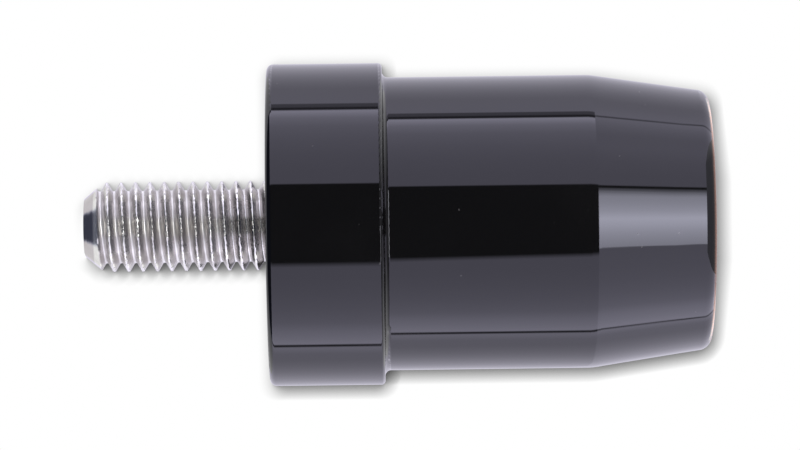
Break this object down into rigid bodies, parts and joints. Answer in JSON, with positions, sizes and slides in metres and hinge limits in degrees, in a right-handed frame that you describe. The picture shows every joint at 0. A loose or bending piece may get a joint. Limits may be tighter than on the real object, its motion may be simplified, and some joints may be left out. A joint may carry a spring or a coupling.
{
  "type": "bar end weight",
  "caption": "Turned round weight for a handlebar's end: wide flange, plain barrel, short tapered nose, and a threaded steel stud that screws into the bar.",
  "frame": {"origin": "centre of the flat outer end face of the nose, which the part stands on", "axes": "+Z along the axis of turning, from the outer end face through the flange and out along the stud"},
  "size_m": [0.028, 0.028, 0.0543],
  "materials": {
    "gloss_black": "gloss black over turned steel",
    "bright_steel": "bright rolled thread"
  },
  "bodies": {
    "root": {"weight_body": "gloss_black", "threaded_stud": "bright_steel"}
  },
  "joints": []
}
